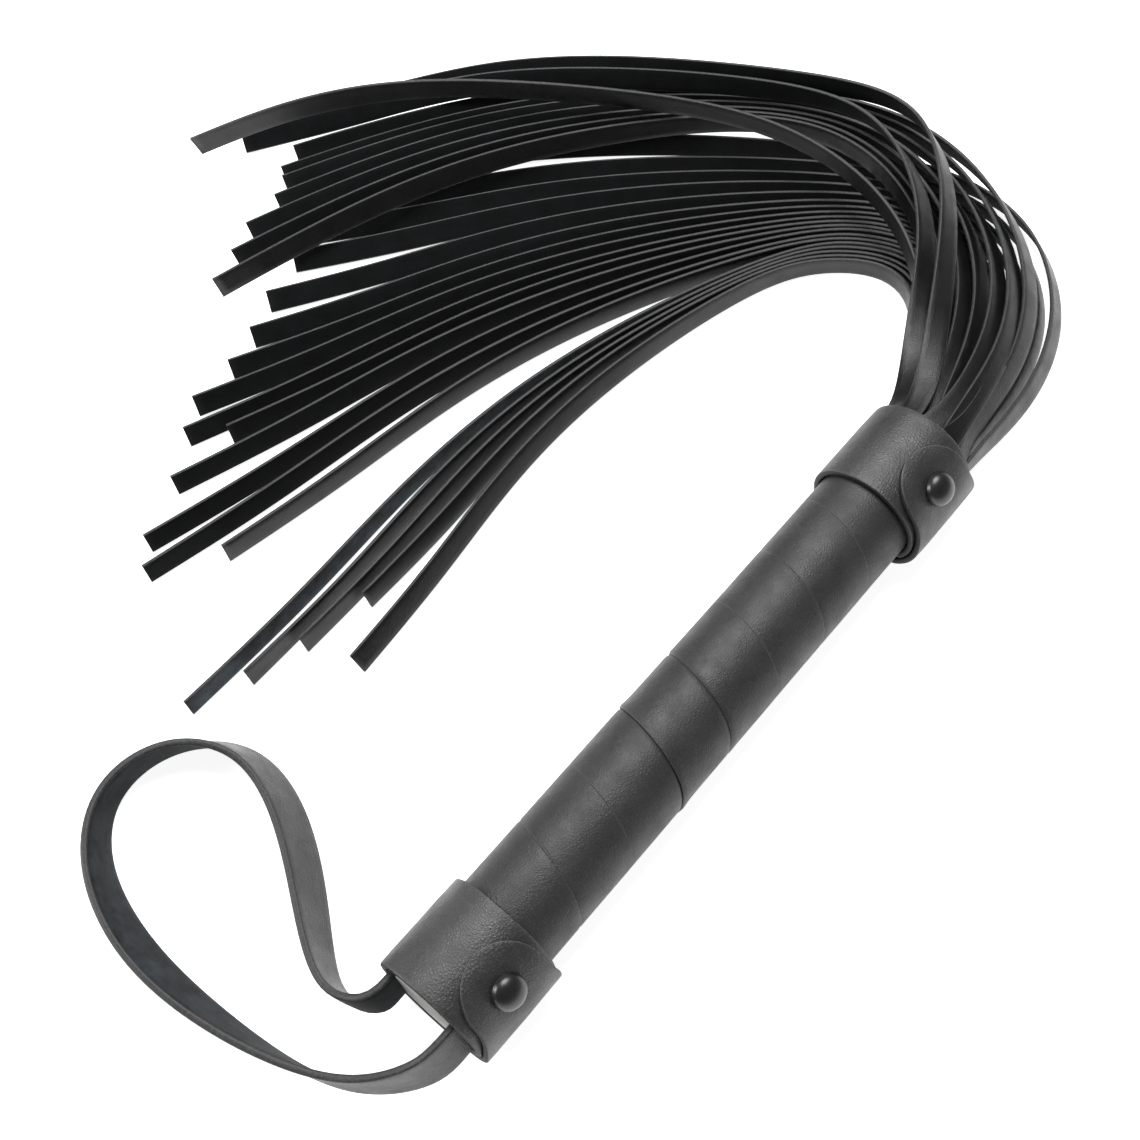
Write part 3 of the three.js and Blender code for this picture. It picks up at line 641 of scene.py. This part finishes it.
LOOP_ROUTE = [
    strap_exit(NEAR_STRAP_ANGLE, -HALF - LOOP_START),
    strap_exit(NEAR_STRAP_ANGLE, -HALF - 5),
    [-HALF - 11, -7, AXIS_Z - 0.5, 14],
    [-HALF - 21, 1, 10.5, 4],
    [-HALF - 28, 15, STRAP_LIE + 1, -5],
    [-124, 38, STRAP_LIE, -24],
    [-125, 62, STRAP_LIE, -32],
    [-118, 84, STRAP_LIE, -16],
    [-103, 96, STRAP_LIE, 0],
    [-84, 92, STRAP_LIE, 10],
    [-73, 76, STRAP_LIE, 25],
    [-79, 56, STRAP_LIE, 32],
    [-92, 38, STRAP_LIE, 28],
    [-103, 23, STRAP_LIE + 1, 14],
    [-HALF - 9, 14, 10, 0],
    strap_exit(FAR_STRAP_ANGLE, -HALF - 5),
    strap_exit(FAR_STRAP_ANGLE, -HALF - LOOP_START),
]


def add_strap():
    loop, loop_length = even_route(LOOP_ROUTE, STRAP_STEPS)
    loop = [settled(p, STRAP_WIDTH, STRAP_THICKNESS) for p in loop]
    inside = -HALF + STRAP_END_LENGTH
    held = [blend_value(inside, -HALF, k / 8) for k in range(9)]
    near = [strap_exit(NEAR_STRAP_ANGLE, x) for x in held]
    far = [strap_exit(FAR_STRAP_ANGLE, x) for x in reversed(held)]
    near = [settled(p, STRAP_WIDTH, STRAP_THICKNESS) for p in near]
    far = [settled(p, STRAP_WIDTH, STRAP_THICKNESS) for p in far]
    route = near + loop + far
    outline, kinds = strip_section(STRAP_WIDTH, STRAP_THICKNESS, STRAP_CORNER, STRAP_CUP, 9)
    rings = strip_rings(route, outline)
    piece = swept("wrist_strap", rings, kinds, [STRAP, STRAP_BACK, EDGE])
    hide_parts("wrist_loop", "strap_end_near", "strap_end_far")
    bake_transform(piece)


# ---------------------------------------------------------------- grip wrap
SEAM_DEPTH = {-1: 0.35, 0: 0.4, -3: 0.12, 2: 0.1}   # by the seam's turn, counted at the top
SEAM_LIP = {-1: 0.5, 0: 0.15}
TIGHT_SEAM = 0.02       # depth of the other seams
SEAM_WIDTH = 0.45
LIP_WIDTH = 1.6
STRIP_GAP = 0.06        # between the strip's turns
STRIP_LIFT = 0.35       # the strip's hidden side stands this far off the wrap's inner radius
WRAP_SWELL = 0.05


def add_wrap():
    """One strip wound round the core, edge to edge: most seams lie tight, one edge stands up as a lip."""
    per_turn = 72
    before = math.ceil((WRAP_END + WRAP_SEAM_X) / WRAP_PITCH) + 1
    after = math.ceil((WRAP_END - WRAP_SEAM_X) / WRAP_PITCH)
    across = 16
    rings = []
    kinds = [0] * across + [1, 1, 1]
    for i in range(-before * per_turn, after * per_turn + 1):
        turn = i / per_turn
        angle = -360 * turn
        x0 = WRAP_SEAM_X + turn * WRAP_PITCH
        low = seam_value(SEAM_DEPTH, turn, TIGHT_SEAM)
        high = seam_value(SEAM_DEPTH, turn + 1, TIGHT_SEAM)
        lip = seam_value(SEAM_LIP, turn, 0.0)
        ring = []
        for k in range(across + 1):
            v = 0.5 - 0.5 * math.cos(math.pi * k / across)
            x = clamp(x0 + v * (WRAP_PITCH - STRIP_GAP), -WRAP_END, WRAP_END)
            reach = v * WRAP_PITCH
            back = (1 - v) * WRAP_PITCH
            relief = lip * math.exp(-reach / LIP_WIDTH) - low * math.exp(-((reach / SEAM_WIDTH) ** 2))
            relief -= high * math.exp(-((back / SEAM_WIDTH) ** 2))
            turned = math.radians(angle)
            swell = noise.noise(Vector((x * 0.06, math.sin(turned) * 0.9, math.cos(turned) * 0.9)))
            ring.append(around(x, WRAP_OUTER + relief + WRAP_SWELL * swell, angle))
        for v in (1, 0):
            x = clamp(x0 + v * (WRAP_PITCH - STRIP_GAP), -WRAP_END, WRAP_END)
            ring.append(around(x, WRAP_INNER + STRIP_LIFT, angle))
        rings.append(ring)
    rings = [r for r in rings if max(p.x for p in r) - min(p.x for p in r) > 0.3]
    piece = swept("grip_wrap_strip", rings, kinds, [GRIP, EDGE])
    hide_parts("grip_wrap")
    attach(piece, "handle")


def seam_value(values, turn, otherwise):
    """The value of the seam nearest to this turn of the helix, whole turns being counted at the top."""
    whole = math.floor(turn + 0.5)
    return values.get(whole, otherwise)


# ---------------------------------------------------------------- collars
COLLAR_START = 118
LAP_RISE_FROM = 165
LAP_RISE_TO = 128
LAP_TAPER = 51            # degrees back from the rivet where the lap reaches its full width
LAP_MIDDLE = (LAP_INNER + LAP_OUTER) / 2
TIP_SWEEP = 22            # degrees before the tip in which the rings crowd together
COLLAR_CORNER = 0.45      # rounding of the collar strap's edges
COLLAR_CROWN = 0.1        # how much the strap stands up between its edges
COLLAR_WOBBLE = 0.07
RIVET_DIMPLE = 0.5        # depth of the hollow that the rivet presses into the lap
RIVET_DIMPLE_RADIUS = 6.2


def collar_edges(wound_angle, centre_x, rivet_x):
    """Lowest and highest x of the collar's strap at this wound angle."""
    low, high = centre_x - COLLAR_LENGTH / 2, centre_x + COLLAR_LENGTH / 2
    past = -wound_angle - (360 - RIVET_ANGLE)
    run = math.radians(past) * LAP_MIDDLE
    if past < -LAP_TAPER:
        return low, high
    if run > 0:
        reach = math.sqrt(max(0.0, LAP_TIP_RADIUS ** 2 - run ** 2))
        return rivet_x - reach, rivet_x + reach
    flare = smoothstep((-past / LAP_TAPER) ** 1.15)
    return (
        blend_value(rivet_x - LAP_TIP_RADIUS, low, flare),
        blend_value(rivet_x + LAP_TIP_RADIUS, high, flare),
    )


def collar_radius(wound_angle):
    """Inner radius of the collar's strap at this wound angle, and how far it has risen to the lap."""
    lap = smoothstep((-wound_angle - (360 - LAP_RISE_FROM)) / (LAP_RISE_FROM - LAP_RISE_TO))
    return blend_value(COLLAR_INNER, LAP_INNER, lap), lap


def add_collar(node, centre_x, rivet_x):
    """A strap wound over its own start and closed with a round lap, hollowed under the rivet."""
    tip = 360 - RIVET_ANGLE + math.degrees(LAP_TIP_RADIUS / LAP_MIDDLE)
    straight = COLLAR_START + tip - TIP_SWEEP
    steps, tip_steps = 170, 26
    wounds = [straight * i / steps for i in range(steps + 1)]
    for i in range(1, tip_steps + 1):
        wounds.append(straight + TIP_SWEEP * math.sin(math.radians(90 * i / tip_steps)))
    wounds[-1] -= 0.02   # the last ring keeps a little width
    across = 22
    rings = []
    phase = Vector((centre_x * 0.1, 3, 5))
    for wound in wounds:
        angle = COLLAR_START - wound
        inner, lap = collar_radius(angle)
        low, high = collar_edges(angle, centre_x, rivet_x)
        width = max(high - low, 0.05)
        corner = min(COLLAR_CORNER, width / 4)
        thickness = COLLAR_THICKNESS
        outer_row, inner_row = [], []
        for k in range(across + 1):
            v = k / across
            x = blend_value(low + corner, high - corner, v)
            run = math.radians(angle + 360 - RIVET_ANGLE) * LAP_MIDDLE
            near = math.hypot(x - rivet_x, run)
            dimple = RIVET_DIMPLE * math.exp(-((near / RIVET_DIMPLE_RADIUS) ** 4)) * lap
            crown = COLLAR_CROWN * (1 - (2 * v - 1) ** 4)
            place = Vector((x * 0.16, math.sin(math.radians(angle)) * 2, angle * 0.004))
            wobble = COLLAR_WOBBLE * noise.noise(place + phase)
            outer_row.append(around(x, inner + thickness + crown - dimple + wobble - 0.08, angle))
            inner_row.append(around(x, inner + 0.02, angle))
        ring = outer_row
        # Kinds: 0 grained face, 1 suede underside, 2 the cut edge's outer corner with its painted
        # highlight line, 3 the rest of the cut edge, near black with painted shade of the gap under the
        # lap.
        kinds = [0] * across + [2]
        for a in (60, 20, -20, -60):
            r = math.radians(a)
            reach = inner + thickness / 2 + (thickness / 2 - 0.04) * math.sin(r)
            ring.append(around(high - corner + corner * math.cos(r), reach, angle))
            kinds.append(3)
        ring += reversed(inner_row)
        kinds += [1] * across + [3]
        for a in (-60, -20, 20, 60):
            r = math.radians(a)
            reach = inner + thickness / 2 + (thickness / 2 - 0.04) * math.sin(r)
            ring.append(around(low + corner - corner * math.cos(r), reach, angle))
            kinds.append(3)
        kinds[-1] = 2
        rings.append(ring)
    materials = [COLLAR, STRAP_BACK, COLLAR_RIM_PAINTED_HIGHLIGHT, COLLAR_EDGE_PAINTED_GAP_SHADE]
    piece = swept(f"{node}_strap", rings, kinds, materials)
    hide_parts(node)
    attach(piece, "handle")


# ---------------------------------------------------------------- rivets
RIVET_SUNK = 0.1          # how far the cap is pressed into the lap
RIVET_ROLL = 0.12         # how far the cap's rolled foot stands out past its dome


def add_rivet_cap(node, rivet_x):
    """A domed cap with a rolled foot, standing on the lap."""
    axis = (around(0, 1, RIVET_ANGLE) - around(0, 0, RIVET_ANGLE)).normalized()
    across = Vector((1, 0, 0))
    other = axis.cross(across)
    foot = LAP_OUTER - RIVET_SUNK
    profile = [(0.0, foot), (RIVET_CAP_RADIUS - 0.5, foot), (RIVET_CAP_RADIUS - RIVET_ROLL, foot + 0.1)]
    profile += [(RIVET_CAP_RADIUS, foot + 0.32), (RIVET_CAP_RADIUS - 0.06, foot + 0.55)]
    dome_steps = 14
    for i in range(1, dome_steps + 1):
        a = math.radians(90 * i / dome_steps)
        r = (RIVET_CAP_RADIUS - RIVET_ROLL) * math.cos(a)
        profile.append((max(0.0, r), foot + 0.6 + (RIVET_CAP_HEIGHT - 0.3) * math.sin(a)))
    segments = 64
    points, faces = [], []
    base = around(rivet_x, 0, 0)
    points.append(base + axis * profile[0][1])
    for r, h in profile[1:-1]:
        for s in range(segments):
            a = 2 * math.pi * s / segments
            points.append(base + axis * h + (across * math.cos(a) + other * math.sin(a)) * r)
    points.append(base + axis * profile[-1][1])
    top = len(points) - 1
    for s in range(segments):
        faces.append((0, 1 + (s + 1) % segments, 1 + s))
        last = 1 + (len(profile) - 3) * segments
        faces.append((top, last + s, last + (s + 1) % segments))
    for row in range(len(profile) - 3):
        for s in range(segments):
            a = 1 + row * segments + s
            b = 1 + row * segments + (s + 1) % segments
            faces.append((a, b, b + segments, a + segments))
    piece = mesh_object(f"{node}_dome", points, faces, [BLACK_METAL], [0] * len(faces))
    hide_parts(node)
    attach(piece, "handle")


# ---------------------------------------------------------------- CAD pieces that stay
KEPT = {
    "handle_core": WOOD,
    "tail_header": TAIL_BACK,
    "butt_rivet_post": BLACK_METAL,
    "head_rivet_post": BLACK_METAL,
    "strap_tack_near": STEEL,
    "strap_tack_far": STEEL,
    "header_tack_near": STEEL,
    "header_tack_far": STEEL,
}


def finish_kept_nodes():
    for name, material in KEPT.items():
        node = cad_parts[name]
        for slot in node.material_slots:
            slot.material = material


# ---------------------------------------------------------------- stage
def add_stage():
    """A white table top that glows a little."""
    size = 3.0
    mesh = bpy.data.meshes.new("floor")
    corners = [(-size, -size, 0), (size, -size, 0), (size, size, 0), (-size, size, 0)]
    mesh.from_pydata(corners, [], [(0, 1, 2, 3)])
    n = Nodes("floor_white")
    haze = n.noise(3, 2, 0.5)
    colour = n.ramp(haze, "Fac", [(0.3, grey(0.88)), (0.7, grey(0.9))])
    n.link(colour, "Color", n.shader, "Base Color")
    n.set(Roughness=0.9, Specular_IOR_Level=0.1, Emission_Color=(1, 1, 1, 1), Emission_Strength=FLOOR_GLOW)
    mesh.materials.append(n.material)
    floor = bpy.data.objects.new("floor", mesh)
    bpy.context.collection.objects.link(floor)


def add_light():
    """A dim sky, a broad soft box nearly overhead and a weaker one on the handle's far side."""
    world = bpy.data.worlds.new("studio")
    world.use_nodes = True
    background = world.node_tree.nodes["Background"]
    background.inputs["Color"].default_value = (1, 1, 1, 1)
    background.inputs["Strength"].default_value = SKY
    bpy.context.scene.world = world
    middle = (0.03, 0.08, 0)
    add_area_light("softbox", (0.34, 0.4, 1.0), middle, 0.8, SOFTBOX_WATTS)
    add_area_light("side_light", (-0.7, 0.75, 0.45), middle, 0.4, SIDE_WATTS)
    bpy.context.scene.view_settings.view_transform = "Standard"


add_camera()
add_tails()
add_strap()
add_wrap()
add_collar("butt_collar", -HALF + COLLAR_LENGTH / 2, BUTT_RIVET_X)
add_collar("head_collar", HALF - COLLAR_LENGTH / 2, HEAD_RIVET_X)
add_rivet_cap("butt_rivet_cap", BUTT_RIVET_X)
add_rivet_cap("head_rivet_cap", HEAD_RIVET_X)
finish_kept_nodes()
add_stage()
add_light()

bpy.context.view_layer.update()
